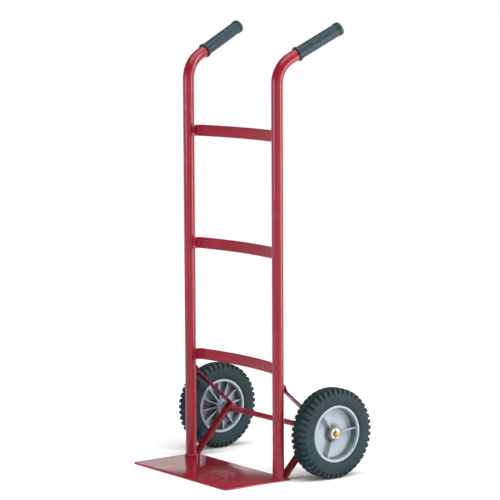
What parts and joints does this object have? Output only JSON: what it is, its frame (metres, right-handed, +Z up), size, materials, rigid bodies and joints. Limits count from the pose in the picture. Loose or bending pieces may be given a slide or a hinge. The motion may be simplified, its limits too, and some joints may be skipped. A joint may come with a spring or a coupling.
{
  "type": "hand truck",
  "caption": "Steel hand truck: bent tube uprights with grips, bowed flat cross straps, a flat toe plate and a braced axle on two rubber-tyred wheels",
  "frame": {"origin": "on the floor, on the toe plate's underside, midway between the two uprights' axes", "axes": "+X across the truck to the right, +Y from the toe plate towards the back, where the handles and the axle are, +Z up along the uprights"},
  "size_m": [0.4724, 0.3629, 0.9953],
  "materials": {
    "red_paint": "glossy crimson enamel",
    "axle_steel": "glossy crimson enamel over the middle, bare yellow zinc at the ends",
    "grip_vinyl": "satin dark teal vinyl",
    "tyre_rubber": "matte dark rubber",
    "wheel_plastic": "satin light grey moulding",
    "zinc_washer": "pale zinc plate",
    "bush_steel": "plain steel, oiled",
    "pin_steel": "yellow zinc plate"
  },
  "bodies": {
    "frame": {"toe_plate": "red_paint", "axle": "axle_steel", "lower_cross_strap": "red_paint", "middle_cross_strap": "red_paint", "top_cross_strap": "red_paint", "strap_welds": "red_paint", "bracket_welds": "red_paint", "toe_plate_welds": "red_paint", "axle_welds": "red_paint", "left_upright_tube": "red_paint", "left_grip": "grip_vinyl", "left_upper_bracket": "red_paint", "left_lower_bracket": "red_paint", "left_inner_washer": "zinc_washer", "left_outer_washer": "zinc_washer", "left_cotter_pin": "pin_steel", "right_upright_tube": "red_paint", "right_grip": "grip_vinyl", "right_upper_bracket": "red_paint", "right_lower_bracket": "red_paint", "right_inner_washer": "zinc_washer", "right_outer_washer": "zinc_washer", "right_cotter_pin": "pin_steel"},
    "left_wheel": {"left_tyre": "tyre_rubber", "left_wheel_centre": "wheel_plastic", "left_inner_bush": "bush_steel", "left_outer_bush": "bush_steel"},
    "right_wheel": {"right_tyre": "tyre_rubber", "right_wheel_centre": "wheel_plastic", "right_inner_bush": "bush_steel", "right_outer_bush": "bush_steel"}
  },
  "joints": [
    {"name": "left_wheel_spin", "type": "hinge", "parent": "frame", "child": "left_wheel", "pos_m": [-0.2138, 0.1093, 0.1], "axis": [1, 0, 0], "continuous": true},
    {"name": "right_wheel_spin", "type": "hinge", "parent": "frame", "child": "right_wheel", "pos_m": [0.2138, 0.1093, 0.1], "axis": [1, 0, 0], "continuous": true}
  ]
}
